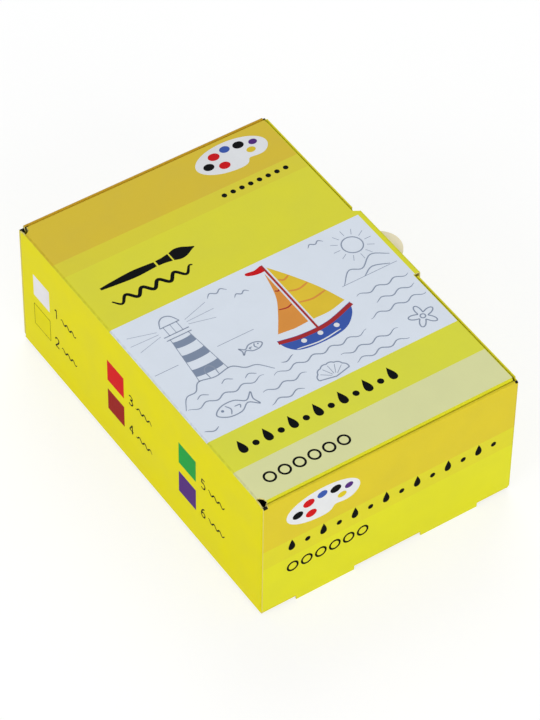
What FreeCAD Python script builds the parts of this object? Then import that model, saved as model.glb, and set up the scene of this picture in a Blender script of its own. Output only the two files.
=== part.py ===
import FreeCAD, Part
import math
import os

# Folding carton for six screw-cap pots of gouache, closed, in millimetres.
# +X points from the hinge side to the opening side, +Y from the near end to the far end, +Z up.
# The origin is the middle of the base panel's underside.

# Pots and caps
pot_diameter = 36.0
pot_height = 33.6  # foot to rim
pot_wall = 1.0
pot_floor = 1.2
neck_height = 8.5  # top of the shoulder to the rim
shoulder_rise = 2.3
foot_recess = 0.5
foot_ring = 3.0
foot_rounding = 0.8
shoulder_step = 3.0  # pot's side in to its neck
neck_wall = 1.0
paint_drop = 0.4  # inside of the shoulder to the paint's surface
paint_gap = 0.1  # paint to pot wall
thread_pitch = 2.5
thread_turns = 1.25
thread_height = 1.0
thread_root = 1.5
thread_crest = 0.7
thread_lead = 1.15  # cap's lower edge to the start of its thread
thread_overlap = 0.55  # how far the cap's thread reaches past the crest of the pot's
thread_gap = 0.4  # crest to the wall it faces
thread_sink = 0.2  # how deep a thread's root is set into its wall
cap_wall = 0.9
cap_top = 1.6
cap_lift = 0.5  # shoulder to the cap's lower edge
cap_rounding = 0.8
cap_recess = 0.4
cap_recess_border = 3.5
rib_count = 48
rib_width = 1.0
rib_depth = 0.35
liner_thickness = 0.8
liner_gap = 0.25  # liner to the cap's thread
liner_play = 0.05  # liner to the cap's top

# How the pots stand in the carton
paints = ["white", "yellow", "scarlet", "brown", "green", "violet"]
pots_across = 2
pot_gap = 0.6
end_room = 1.1  # end pots to the lid's ears
left_room = 0.8  # left pots to the left wall
right_room = 2.8  # right pots to the right wall
head_room = 4.65  # caps to the lid

# Board and creases
board = 0.4
end_layers = 3  # outer panel, dust flap and inner panel
ear_gap = 0.2  # lid's ears to the end walls
tuck_gap = 0.15  # lid's tuck flaps to the right wall, at the crease
lock_gap = 0.95  # lock flap to the right wall
edge_setback = 0.15  # end wall's raw side edges behind the side walls
rim_drop = 0.0  # lid's top to the end walls' rims and the right wall's top edge
pass_drop = 1.0  # lid's top to the right wall's edge where the lock strip passes over it

# Flaps and tabs
foot_depth = 0.5
foot_length = 17.7
foot_spacing = 38.4
tab_gap = 0.2
slit_play = 0.05  # inner end panels' tabs to the base's slits
dust_length = 22.0
dust_taper = 4.0
dust_rise = 0.9
dust_drop = 0.8
ear_depth = 13.0
ear_left_inset = 3.0
ear_right_inset = 5.0
ear_taper = 5.0
ear_rounding = 3.0
tuck_depth = 10.0
tuck_lean = 3.5  # degrees inwards
tuck_inset = 2.0
tuck_taper = 2.5
tuck_rounding = 2.5
strip_length = 26.8
strip_middle = 0.5  # along Y
strip_bevel = 1.1
strip_relief = 1.0  # strip's ends to the tuck flaps and the raised parts of the right wall
lock_depth = 12.0
lock_rounding = 2.5
lock_web = 0.6
tongue_radius = 6.3
tongue_reach = 4.6  # beyond the right wall
tongue_drop = 0.6  # wall's edge under the strip to the tongue's crease
tongue_gap = 0.4  # tongue to the sides of its cuts
hinge_relief = 1.9  # radius of the cut at the lid's hinge corners
free_relief = 0.9  # radius of the cut at the lid's other corners
wall_relief_length = 2.2
wall_relief_drop = 0.9

# Worked out from these
pot_radius = pot_diameter / 2
pot_pitch = pot_diameter + pot_gap
pots_along = len(paints) // pots_across
neck_radius = pot_radius - shoulder_step
neck_start = pot_height - neck_height
shoulder_height = neck_start - shoulder_rise
thread_crest_radius = neck_radius + thread_height
cap_inner_radius = thread_crest_radius + thread_gap
cap_radius = cap_inner_radius + cap_wall
cap_crest_radius = thread_crest_radius - thread_overlap
cap_bottom = neck_start + cap_lift
cap_thread_start = cap_bottom + thread_lead
pot_thread_start = cap_thread_start + thread_pitch / 2
cap_ceiling = pot_height + liner_thickness + liner_play
cap_height = cap_ceiling + cap_top
end_wall = end_layers * board
end_margin = end_room + board + ear_gap + end_wall
box_length = pots_along * pot_diameter + (pots_along - 1) * pot_gap + 2 * end_margin
side_margin = left_room + right_room + 2 * board
box_width = pots_across * pot_diameter + (pots_across - 1) * pot_gap + side_margin
box_height = board + cap_height + head_room + board
half_length = box_length / 2
half_width = box_width / 2
lid_under = box_height - board
rim_top = box_height - rim_drop
rim_under = rim_top - board
pass_top = box_height - pass_drop
lid_end = half_length - end_wall - ear_gap
lid_right = half_width - board - tuck_gap
strip_right = half_width + lock_gap + board
strip_near = strip_middle - strip_length / 2
strip_far = strip_middle + strip_length / 2
tongue_under = pass_top - tongue_drop
tongue_slot = tongue_radius + tongue_gap


def vec(x, y, z):
    return FreeCAD.Vector(x, y, z)


def block(low, high):
    # Plain block between two opposite corners
    size = [high[i] - low[i] for i in range(3)]
    return Part.makeBox(size[0], size[1], size[2], vec(*low))


def on_floor(u, v):
    return vec(u, v, 0)


def facing_y(u, v):
    return vec(u, 0, v)


def facing_x(u, v):
    return vec(0, u, v)


def outline(corners, plane):
    # Closed outline from (u, v, radius) corners: a radius rounds its corner with an arc
    flat = [FreeCAD.Vector(u, v, 0) for u, v, radius in corners]
    edges = []
    last = None
    first = None
    for i, (u, v, radius) in enumerate(corners):
        here = flat[i]
        back = (flat[i - 1] - here).normalize()
        ahead = (flat[(i + 1) % len(flat)] - here).normalize()
        half_angle = back.getAngle(ahead) / 2
        run = radius / math.tan(half_angle)
        start = here + back * run
        end = here + ahead * run
        if last is not None:
            edges.append(Part.LineSegment(plane(last.x, last.y), plane(start.x, start.y)).toShape())
        else:
            first = start
        if radius > 0:
            inward = (back + ahead).normalize()
            middle = here + inward * (radius / math.sin(half_angle) - radius)
            arc = Part.Arc(plane(start.x, start.y), plane(middle.x, middle.y), plane(end.x, end.y))
            edges.append(arc.toShape())
        last = end
    edges.append(Part.LineSegment(plane(last.x, last.y), plane(first.x, first.y)).toShape())
    return Part.Wire(edges)


def panel(corners, plane, place, thickness):
    # Board panel: an outline in a plane, moved to its place and given its thickness
    sheet = Part.Face(outline(corners, plane))
    sheet.translate(place)
    return sheet.extrude(thickness)


def square(corners):
    return [(u, v, 0) for u, v in corners]


def turned(profile):
    # Solid of revolution about Z from (radius, z) points
    points = [vec(r, 0, z) for r, z in profile]
    face = Part.Face(Part.makePolygon(points + points[:1]))
    return face.revolve(vec(0, 0, 0), vec(0, 0, 1), 360)


def base_panel():
    inside = half_width - board
    end = half_length - board
    shape = block((-inside, -end, 0), (inside, end, board))
    for side in (-1, 1):
        for x in (-foot_spacing / 2, foot_spacing / 2):
            edge = side * end
            inner = side * (half_length - end_wall - slit_play)
            low = (x - foot_length / 2, min(edge, inner), 0)
            high = (x + foot_length / 2, max(edge, inner), board)
            shape = shape.cut(block(low, high))
    return shape


def left_wall():
    # Top corners slope down where the crease to the lid is cut away
    end = half_length - board
    slope = end - wall_relief_length
    low = lid_under - wall_relief_drop
    corners = [(-end, 0), (end, 0), (end, low), (slope, lid_under), (-slope, lid_under), (-end, low)]
    return panel(square(corners), facing_x, vec(-half_width, 0, 0), vec(board, 0, 0))


def right_wall():
    # The top edge is cut down under the rims' ends, where the strip passes over it and at the tongue's crease
    end = half_length - board
    rim_cut = rim_under - tab_gap
    near_pass = strip_near - strip_relief
    far_pass = strip_far + strip_bevel + strip_relief
    near = strip_middle - tongue_slot
    far = strip_middle + tongue_slot
    corners = [
        (-end, 0), (end, 0), (end, rim_cut), (lid_end, rim_cut), (lid_end, rim_top),
        (far_pass, rim_top), (far_pass, pass_top), (far, pass_top), (far, tongue_under),
        (near, tongue_under), (near, pass_top), (near_pass, pass_top), (near_pass, rim_top),
        (-lid_end, rim_top), (-lid_end, rim_cut), (-end, rim_cut),
    ]
    return panel(square(corners), facing_x, vec(half_width - board, 0, 0), vec(board, 0, 0))


def end_outer(side):
    # Outer end panel with two foot strips left standing below the base
    half = half_width - edge_setback
    corners = [(-half, 0)]
    for x in (-foot_spacing / 2, foot_spacing / 2):
        left = x - foot_length / 2
        right = x + foot_length / 2
        corners += [(left, 0), (left, -foot_depth), (right, -foot_depth), (right, 0)]
    corners += [(half, 0), (half, rim_under), (-half, rim_under)]
    place = vec(0, side * half_length, 0)
    return panel(square(corners), facing_y, place, vec(0, -side * board, 0))


def end_inner(side):
    # Inner end panel with two tabs that drop into the base's slits
    half = half_width - board - tab_gap
    corners = [(-half, board)]
    for x in (-foot_spacing / 2, foot_spacing / 2):
        left = x - foot_length / 2 + tab_gap
        right = x + foot_length / 2 - tab_gap
        corners += [(left, board), (left, 0), (right, 0), (right, board)]
    corners += [(half, board), (half, rim_under), (-half, rim_under)]
    place = vec(0, side * (half_length - end_wall + board), 0)
    return panel(square(corners), facing_y, place, vec(0, -side * board, 0))


def end_rim(side):
    half = half_width - edge_setback
    outer = side * half_length
    inner = side * (half_length - end_wall)
    return block((-half, min(outer, inner), rim_under), (half, max(outer, inner), rim_top))


def dust_flap(hand, side):
    # Flap of a side wall (hand) caught inside an end wall (side), cut back along its free end
    root = hand * (half_width - board)
    tip = root - hand * dust_length
    shoulder = tip + hand * dust_taper
    top = rim_under - dust_drop
    corners = [
        (root, dust_rise), (shoulder, dust_rise), (tip, dust_rise + dust_taper),
        (tip, top - dust_taper), (shoulder, top), (root, top),
    ]
    place = vec(0, side * (half_length - board), 0)
    return panel(square(corners), facing_y, place, vec(0, -side * board, 0))


def lid_panel():
    corners = [
        (-half_width, -lid_end), (lid_right, -lid_end),
        (lid_right, strip_near), (strip_right, strip_near),
        (strip_right, strip_far), (lid_right, strip_far + strip_bevel),
        (lid_right, lid_end), (-half_width, lid_end),
    ]
    shape = panel(square(corners), on_floor, vec(0, 0, lid_under), vec(0, 0, board))
    for side in (-1, 1):
        for x, radius in ((-half_width, hinge_relief), (lid_right, free_relief)):
            shape = shape.cut(Part.makeCylinder(radius, board, vec(x, side * lid_end, lid_under)))
    return shape


def ear(side):
    left = ear_left_inset - half_width
    right = lid_right - ear_right_inset
    low = lid_under - ear_depth
    corners = [
        (left, lid_under, 0), (left + ear_taper, low, ear_rounding),
        (right - ear_taper, low, ear_rounding), (right, lid_under, 0),
    ]
    return panel(corners, facing_y, vec(0, side * lid_end, 0), vec(0, -side * board, 0))


def tuck_flap(near, far):
    # Flap between two places along Y, leaning inwards about its crease
    low = lid_under - tuck_depth
    corners = [
        (near, lid_under, 0), (near + tuck_taper, low, tuck_rounding),
        (far - tuck_taper, low, tuck_rounding), (far, lid_under, 0),
    ]
    crease = lid_right - board
    shape = panel(corners, facing_x, vec(lid_right, 0, 0), vec(-board, 0, 0))
    shape.rotate(vec(crease, 0, lid_under), vec(0, 1, 0), tuck_lean)
    return shape


def lock_flap():
    # Flap with a notch that leaves room for the tongue
    low = lid_under - lock_depth
    near = strip_middle - tongue_slot
    far = strip_middle + tongue_slot
    notch = lid_under - lock_web
    corners = [
        (strip_near, lid_under, 0), (strip_near, low, lock_rounding), (near, low, 0), (near, notch, 0),
        (far, notch, 0), (far, low, 0), (strip_far, low, lock_rounding), (strip_far, lid_under, 0),
    ]
    return panel(corners, facing_x, vec(strip_right, 0, 0), vec(-board, 0, 0))


def lock_tongue():
    # Part of a round plate, creased on the wall's top edge
    middle = half_width + tongue_reach - tongue_radius
    disc = Part.makeCylinder(tongue_radius, board, vec(middle, strip_middle, tongue_under))
    root = half_width - board
    near = strip_middle - tongue_radius
    far = strip_middle + tongue_radius
    return disc.common(block((root, near, tongue_under), (middle + tongue_radius, far, tongue_under + board)))


def thread(root_radius, crest_radius, start):
    # One helical ridge: a tapered section carried along a helix
    helix = Part.makeHelix(thread_pitch, thread_pitch * thread_turns, min(root_radius, crest_radius))
    helix.translate(vec(0, 0, start))
    section = [
        vec(root_radius, 0, start - thread_root / 2), vec(crest_radius, 0, start - thread_crest / 2),
        vec(crest_radius, 0, start + thread_crest / 2), vec(root_radius, 0, start + thread_root / 2),
    ]
    ring = Part.makePolygon(section + section[:1])
    return Part.Wire(helix.Edges).makePipeShell([ring], True, True)


def pot():
    body_inner = pot_radius - pot_wall
    neck_inner = neck_radius - neck_wall
    ring_inner = pot_radius - foot_ring
    profile = [
        (0, foot_recess), (ring_inner, foot_recess), (ring_inner + foot_recess, 0),
        (pot_radius - foot_rounding, 0), (pot_radius, foot_rounding), (pot_radius, shoulder_height),
        (neck_radius, neck_start), (neck_radius, pot_height), (neck_inner, pot_height),
        (neck_inner, neck_start - pot_wall), (body_inner, shoulder_height - pot_wall),
        (body_inner, pot_floor), (0, pot_floor),
    ]
    ridge = thread(neck_radius - thread_sink, thread_crest_radius, pot_thread_start)
    return turned(profile).fuse(ridge).Solids[0]


def paint():
    radius = pot_radius - pot_wall - paint_gap
    surface = shoulder_height - pot_wall - paint_drop
    return Part.makeCylinder(radius, surface - pot_floor, vec(0, 0, pot_floor))


def liner():
    return Part.makeCylinder(cap_crest_radius - liner_gap, liner_thickness, vec(0, 0, pot_height))


def cap():
    recess_radius = cap_radius - cap_recess_border
    profile = [
        (0, cap_ceiling), (cap_inner_radius, cap_ceiling), (cap_inner_radius, cap_bottom),
        (cap_radius, cap_bottom), (cap_radius, cap_height - cap_rounding),
        (cap_radius - cap_rounding, cap_height), (recess_radius, cap_height),
        (recess_radius - cap_recess, cap_height - cap_recess), (0, cap_height - cap_recess),
    ]
    tip = vec(cap_radius - rib_depth, 0, cap_bottom)
    mouth = [vec(cap_radius + rib_depth, y, cap_bottom) for y in (-rib_width, rib_width)]
    section = Part.Face(Part.makePolygon([tip] + mouth + [tip]))
    groove = section.extrude(vec(0, 0, cap_height - cap_bottom))
    grooves = []
    for i in range(rib_count):
        cutter = groove.copy()
        cutter.rotate(vec(0, 0, 0), vec(0, 0, 1), 360 * i / rib_count)
        grooves.append(cutter)
    ridge = thread(cap_inner_radius + thread_sink, cap_crest_radius, cap_thread_start)
    return turned(profile).cut(Part.makeCompound(grooves)).fuse(ridge).Solids[0]


def jar_place(index):
    # Rows run from the far end to the near end, hinge side first
    row, column = divmod(index, pots_across)
    x = -half_width + board + left_room + pot_radius + column * pot_pitch
    y = ((pots_along - 1) / 2 - row) * pot_pitch
    return vec(x, y, board)


def jar_pieces():
    pieces = {}
    for name, shape in (("pot", pot()), ("paint", paint()), ("liner", liner()), ("cap", cap())):
        for index, colour in enumerate(paints):
            copy = shape.copy()
            copy.translate(jar_place(index))
            pieces[f"{name}_{colour}"] = copy
    return pieces


def carton_pieces():
    pieces = {"base_panel": base_panel(), "left_wall": left_wall(), "right_wall": right_wall()}
    for end, side in (("near", -1), ("far", 1)):
        pieces[f"{end}_end_outer"] = end_outer(side)
        pieces[f"{end}_end_inner"] = end_inner(side)
        pieces[f"{end}_end_rim"] = end_rim(side)
        pieces[f"{end}_ear"] = ear(side)
        for wall, hand in (("left", -1), ("right", 1)):
            pieces[f"{wall}_{end}_dust_flap"] = dust_flap(hand, side)
    pieces["lid_panel"] = lid_panel()
    pieces["near_tuck_flap"] = tuck_flap(tuck_inset - lid_end, strip_near - strip_relief)
    pieces["far_tuck_flap"] = tuck_flap(strip_far + strip_bevel + strip_relief, lid_end - tuck_inset)
    pieces["lock_flap"] = lock_flap()
    pieces["lock_tongue"] = lock_tongue()
    return pieces


os.makedirs("parts", exist_ok=True)
for node, shape in {**carton_pieces(), **jar_pieces()}.items():
    shape.exportStep(f"parts/{node}.step")
print(f"carton {box_width:.2f} x {box_length:.2f} x {box_height:.2f} mm, tongue {tongue_reach:.1f} mm proud")
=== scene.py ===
import math
import bpy
import numpy as np
from mathutils import Matrix, Vector


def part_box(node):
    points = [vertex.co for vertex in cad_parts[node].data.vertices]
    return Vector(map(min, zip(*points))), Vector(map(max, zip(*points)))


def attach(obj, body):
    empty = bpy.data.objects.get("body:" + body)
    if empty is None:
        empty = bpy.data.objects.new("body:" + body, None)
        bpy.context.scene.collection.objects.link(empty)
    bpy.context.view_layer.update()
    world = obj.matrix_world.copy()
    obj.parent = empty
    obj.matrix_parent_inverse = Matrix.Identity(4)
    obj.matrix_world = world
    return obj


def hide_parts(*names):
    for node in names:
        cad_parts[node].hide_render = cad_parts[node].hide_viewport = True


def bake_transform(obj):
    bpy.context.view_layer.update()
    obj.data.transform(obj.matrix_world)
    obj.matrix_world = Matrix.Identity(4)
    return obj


# Folding carton of six gouache pots: printed board, rounded creases, generic print, pots and caps.
# Formulas are in millimetres in the shared frame, and meshes are written in metres.
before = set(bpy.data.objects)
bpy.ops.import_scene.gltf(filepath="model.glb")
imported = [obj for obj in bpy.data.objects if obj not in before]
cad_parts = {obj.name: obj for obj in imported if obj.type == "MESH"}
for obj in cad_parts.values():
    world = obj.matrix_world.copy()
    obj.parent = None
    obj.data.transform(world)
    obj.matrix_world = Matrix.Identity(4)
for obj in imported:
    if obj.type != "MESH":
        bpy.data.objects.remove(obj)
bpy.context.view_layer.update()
mm = 0.001


def nodeBox(name):
    low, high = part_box(name)
    return np.array(low) / mm, np.array(high) / mm


# places taken from the frame
baseLow, baseHigh = nodeBox("base_panel")
lidLow, lidHigh = nodeBox("lid_panel")
leftHigh = nodeBox("left_wall")[1]
rightHigh = nodeBox("right_wall")[1]
outerLow, outerHigh = nodeBox("far_end_outer")
innerLow = nodeBox("far_end_inner")[0]
rimLow, rimHigh = nodeBox("far_end_rim")
dustLow, dustHigh = nodeBox("right_far_dust_flap")
earLow, earHigh = nodeBox("far_ear")
nearTuckLow, nearTuckHigh = nodeBox("near_tuck_flap")
farTuckLow, farTuckHigh = nodeBox("far_tuck_flap")
lockLow, lockHigh = nodeBox("lock_flap")
tongueLow, tongueHigh = nodeBox("lock_tongue")

board = lidHigh[2] - lidLow[2]
lidTop = lidHigh[2]
lidEnd = lidHigh[1]
lidRight = nearTuckHigh[0]
hingeX = lidLow[0]
stripEdge = lidHigh[0]
sideFace = rightHigh[0]
sideEnd = rightHigh[1]
endFace = outerHigh[1]
floorZ = outerLow[2]
foldRadius = 0.6  # outside of a creased fold
# how deep the painted shade along a crease's middle is
foldShade = 0.6
foldTop = lidTop - foldRadius
tuckRadius = 0.42  # the tuck flaps' tighter fold
lidReach = dict(near=lidEnd + 0.45, far=lidEnd + 0.4)  # the lid's board bulges a little past its ears
earRadius = dict(near=0.6, far=0.42)
hair = 0.01  # less than any step between places on a board


# surfaces: every shell is (points, [face groups])
def cutBand(ring, count):
    # quads between a border and its copy behind
    after = np.roll(ring, -1)
    return np.stack([after, ring, ring + count, after + count], -1)


def slab(front, back):
    # closed board: a front grid, a back grid and the four cut edges that join their borders
    rows, columns = front.shape[:2]
    count = rows * columns
    index = np.arange(count).reshape(rows, columns)
    quads = np.stack([index[:-1, :-1], index[:-1, 1:], index[1:, 1:], index[1:, :-1]], -1).reshape(-1, 4)
    ring = np.concatenate([index[0, :-1], index[:-1, -1], index[-1, :0:-1], index[:0:-1, 0]])
    points = np.concatenate([front.reshape(-1, 3), back.reshape(-1, 3)])
    return points, [quads, quads[:, ::-1] + count, cutBand(ring, count)]


def prism(front, back):
    # closed plate: an outline, its copy behind, and the edge between them
    count = len(front)
    ring = np.arange(count)
    return np.concatenate([front, back]), [ring[None], (ring[::-1] + count)[None], cutBand(ring, count)]


def revolve(profile, columns, centre, inset):
    # solid of revolution: radius(row) less inset(row, angle); the first and last points are on the axis
    angle = np.linspace(0, 2 * np.pi, columns, endpoint=False)
    body = profile[1:-1]
    radius = body[:, :1] - inset(body, angle)
    height = np.broadcast_to(body[:, 1:], radius.shape)
    rings = np.stack([radius * np.cos(angle), radius * np.sin(angle), height], -1)
    index = np.arange(radius.size).reshape(radius.shape)
    after = np.roll(index, -1, 1)
    quads = np.stack([index[:-1], after[:-1], after[1:], index[1:]], -1).reshape(-1, 4)
    poles = np.array([[0, 0, profile[0, 1]], [0, 0, profile[-1, 1]]])
    first = np.stack([after[0], index[0], np.full(columns, radius.size)], -1)
    last = np.stack([index[-1], after[-1], np.full(columns, radius.size + 1)], -1)
    return np.concatenate([rings.reshape(-1, 3), poles]) + centre, [quads, first, last]


def signedVolume(points, groups):
    # a third of each face's middle times its area vector, added up
    total = 0
    for group in groups:
        ring = points[group]
        area = np.cross(ring, np.roll(ring, -1, 1)).sum(1) / 2
        total += (ring.mean(1) * area).sum() / 3
    return total


def addObject(name, data):
    thing = bpy.data.objects.new(name, data)
    bpy.context.scene.collection.objects.link(thing)
    return thing


def makePiece(name, shells, materials, nodes=(), wear=None, sharp=40):
    # joins closed shells, each (points, groups, material of each group), into one object
    points, faces, slots = [], [], []
    start = 0
    for shellPoints, groups, groupSlots in shells:
        outward = signedVolume(shellPoints, groups) > 0
        for group, groupSlot in zip(groups, groupSlots):
            faces += ((group if outward else group[:, ::-1]) + start).tolist()
            slots += [groupSlot] * len(group)
        points.append(shellPoints)
        start += len(shellPoints)
    mesh = bpy.data.meshes.new(name)
    mesh.from_pydata((np.concatenate(points) * mm).tolist(), [], faces)
    for material in materials:
        mesh.materials.append(material)
    mesh.polygons.foreach_set("material_index", slots)
    mesh.polygons.foreach_set("use_smooth", [True] * len(faces))
    mesh.set_sharp_from_angle(angle=math.radians(sharp))
    if wear is not None:
        mesh.attributes.new("wear", "FLOAT", "POINT").data.foreach_set("value", wear)
    mesh.update()
    piece = addObject(name, mesh)
    if nodes:
        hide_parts(*nodes)
    return piece


# shader helpers
noiseLow, noiseHigh = 0.3, 0.7  # most of a noise texture's values lie between these
# speckle and depth of the painted shade along creases
wearLook = dict(speckScale=700.0, deepest=0.7)


def tone(red, green, blue):
    # sRGB of 0 to 255 to linear
    share = np.array([red, green, blue]) / 255
    linear = np.where(share > 0.04045, ((share + 0.055) / 1.055) ** 2.4, share / 12.92)
    return (*linear.tolist(), 1.0)


def setInputs(tree, node, inputs):
    # a socket is linked and a plain value is written
    for key, value in inputs.items():
        if isinstance(value, bpy.types.NodeSocket):
            tree.links.new(value, node.inputs[key])
        else:
            node.inputs[key].default_value = value


def addNode(tree, kind, inputs=None, **settings):
    node = tree.nodes.new(f"ShaderNode{kind}")
    for key, value in settings.items():
        setattr(node, key, value)
    setInputs(tree, node, inputs or {})
    return node


def addMath(tree, operation, *values):
    return addNode(tree, "Math", dict(enumerate(values)), operation=operation).outputs[0]


def newGroup(name, inputs, outputs):
    tree = bpy.data.node_groups.new(name, "ShaderNodeTree")
    for label, kind, value in inputs:
        socket = tree.interface.new_socket(label, in_out="INPUT", socket_type=f"NodeSocket{kind}")
        if value is not None:
            socket.default_value = value
    for label, kind in outputs:
        tree.interface.new_socket(label, in_out="OUTPUT", socket_type=f"NodeSocket{kind}")
    return tree, tree.nodes.new("NodeGroupInput").outputs, tree.nodes.new("NodeGroupOutput")


def makeGrainGroup():
    # fine fibres for the bump and broad mottle for tone and gloss
    inputs = [("Vector", "Vector", None), ("Fibre Scale", "Float", 2200.0), ("Mottle Scale", "Float", 110.0)]
    tree, given, result = newGroup("paperGrain", inputs, [("Tone", "Float"), ("Height", "Float")])
    stretch = addNode(tree, "Mapping", {"Vector": given["Vector"], "Scale": (1.0, 0.35, 1.0)})
    fibre = addNode(tree, "TexNoise", {
        "Vector": stretch.outputs[0], "Scale": given["Fibre Scale"], "Detail": 3.0, "Roughness": 0.6})
    mottle = addNode(tree, "TexNoise", {
        "Vector": given["Vector"], "Scale": given["Mottle Scale"], "Detail": 3.0})
    setInputs(tree, result, {"Tone": mottle.outputs[0], "Height": fibre.outputs[0]})
    return tree


def makeInkGroup():
    # ink lies a little lighter and darker over the mottle
    inputs = [("Color", "Color", (1, 1, 1, 1)), ("Tone", "Float", 0.5), ("Amount", "Float", 0.03)]
    tree, given, result = newGroup("inkTone", inputs, [("Color", "Color")])
    level = addNode(tree, "MapRange", {
        "Value": given["Tone"], "From Min": noiseLow, "From Max": noiseHigh,
        "To Min": addMath(tree, "SUBTRACT", 1.0, given["Amount"]),
        "To Max": addMath(tree, "ADD", 1.0, given["Amount"])})
    shade = addNode(tree, "HueSaturation", {"Color": given["Color"], "Value": level.outputs[0]})
    setInputs(tree, result, {"Color": shade.outputs[0]})
    return tree


def makeCreaseShadeGroup():
    # painted shade along a crease: the colour is darkened, unevenly, where the fold turns away from the light
    inputs = [("Color", "Color", (1, 1, 1, 1)), ("Painted Shade", "Float", 0.0), ("Vector", "Vector", None)]
    tree, given, result = newGroup("paintedCreaseShade", inputs, [("Color", "Color")])
    speck = addNode(tree, "TexNoise", {
        "Vector": given["Vector"], "Scale": wearLook["speckScale"], "Detail": 3.0})
    shadeAmount = addMath(tree, "MULTIPLY", speck.outputs[0], given["Painted Shade"])
    level = addNode(tree, "MapRange", {"Value": shadeAmount, "To Min": 1.0, "To Max": wearLook["deepest"]})
    shade = addNode(tree, "HueSaturation", {"Color": given["Color"], "Value": level.outputs[0]})
    setInputs(tree, result, {"Color": shade.outputs[0]})
    return tree


grainGroup = makeGrainGroup()
inkGroup = makeInkGroup()
wearGroup = makeCreaseShadeGroup()

inkTones = dict(
    yellow=(226, 224, 40), sideYellow=(226, 217, 12), lidYellow=(226, 222, 54),
    lidLowYellow=(225, 226, 62), lidOrange=(221, 194, 52), lidMid=(224, 213, 54),
    pale=(226, 228, 168), picture=(227, 235, 247), endOrange=(223, 203, 46),
    endMid=(224, 217, 44), core=(226, 217, 183), rimShadedOrange=(203, 160, 34),
    edge=(222, 214, 40), swatchWhite=(228, 227, 234), dark=(6, 8, 10), line=(146, 157, 178),
    shade=(133, 147, 172), white=(232, 234, 238), red=(210, 26, 32), brown=(150, 28, 28),
    green=(34, 160, 70), violet=(84, 46, 126), sail=(232, 200, 60), jib=(226, 150, 70),
    hull=(62, 92, 176), stripe=(172, 48, 52),
)
inks = {name: tone(*rgb) for name, rgb in inkTones.items()}
# scales of fibre and mottle, how far the tone varies, roughness from and to, bump and its depth in mm
printLook = dict(fibre=2200.0, mottle=110.0, amount=0.022, rough=(0.41, 0.51), bump=0.25, relief=0.06,
                 specular=0.1)
sideLook = dict(printLook, specular=0.05)
inkLook = dict(printLook, mottle=140.0, amount=0.04, rough=(0.39, 0.49), specular=0.02)
bareLook = dict(fibre=1500.0, mottle=320.0, amount=0.025, rough=(0.77, 0.87), bump=0.6, relief=0.06,
                specular=0.2)


def newMaterial(name):
    material = bpy.data.materials.new(name)
    material.use_nodes = True
    tree = material.node_tree
    return material, tree, tree.nodes["Principled BSDF"]


def grainedLook(tree, shader, color, look):
    # uneven gloss and fibre bump; gives the mottled colour and the place that it was worked out at
    place = addNode(tree, "TexCoord").outputs["Object"]
    grain = addNode(tree, "Group", {
        "Vector": place, "Fibre Scale": look["fibre"], "Mottle Scale": look["mottle"]}, node_tree=grainGroup)
    ink = addNode(tree, "Group", {
        "Color": color, "Tone": grain.outputs["Tone"], "Amount": look["amount"]}, node_tree=inkGroup)
    smooth, dull = look["rough"]
    gloss = addNode(tree, "MapRange", {
        "Value": grain.outputs["Tone"], "From Min": noiseLow, "From Max": noiseHigh,
        "To Min": smooth, "To Max": dull})
    bump = addNode(tree, "Bump", {
        "Height": grain.outputs["Height"], "Strength": look["bump"], "Distance": look["relief"] * mm})
    setInputs(tree, shader, {"Roughness": gloss.outputs[0], "Normal": bump.outputs[0]})
    return ink.outputs[0], place


def finishBoard(tree, shader, color, look):
    # shared end of the board and ink materials: grain, then painted crease shade
    ink, place = grainedLook(tree, shader, color, look)
    crease = addNode(tree, "Attribute", attribute_name="wear")
    wear = addNode(tree, "Group", {
        "Color": ink, "Painted Shade": crease.outputs["Fac"], "Vector": place}, node_tree=wearGroup)
    setInputs(tree, shader, {"Base Color": wear.outputs[0], "Specular IOR Level": look["specular"]})


def plainBoard(name, color, look):
    material, tree, shader = newMaterial(name)
    finishBoard(tree, shader, color, look)
    return material


def bandedBoard(name, axis, bands, sides=None, lastBand=40):
    # flat bands of ink along one axis: each band is (where it begins in mm, colour); left of sides["left"]
    # and right of sides["right"], or of sides["onStrip"] along the strip, the first band's colour goes on
    material, tree, shader = newMaterial(name)
    place = addNode(tree, "TexCoord").outputs["Object"]
    split = addNode(tree, "SeparateXYZ", {0: place}).outputs
    low, high = bands[0][0], bands[-1][0] + lastBand
    share = addNode(tree, "MapRange", {
        "Value": split[axis], "From Min": low * mm, "From Max": high * mm})
    ramp = addNode(tree, "ValToRGB", {0: share.outputs[0]})
    ramp.color_ramp.interpolation = "CONSTANT"
    stops = ramp.color_ramp.elements
    stops[0].position = 0.0
    stops[0].color = bands[0][1]
    stops.remove(stops[1])
    for start, color in bands[1:]:
        stops.new((start - low) / (high - low)).color = color
    color = ramp.outputs[0]
    if sides:
        near, far = sides["strip"]
        onStrip = addMath(tree, "COMPARE", split["Y"], (near + far) / 2 * mm, (far - near) / 2 * mm)
        limit = addNode(tree, "MapRange", {
            "Value": onStrip, "To Min": sides["right"] * mm, "To Max": sides["onStrip"] * mm})
        right = addMath(tree, "GREATER_THAN", split["X"], limit.outputs[0])
        left = addMath(tree, "LESS_THAN", split["X"], sides["left"] * mm)
        beyond = addMath(tree, "MAXIMUM", right, left)
        mixed = addNode(tree, "Mix", {0: beyond, 6: color, 7: bands[0][1]}, data_type="RGBA")
        color = mixed.outputs[2]
    finishBoard(tree, shader, color, printLook)
    return material


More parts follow.
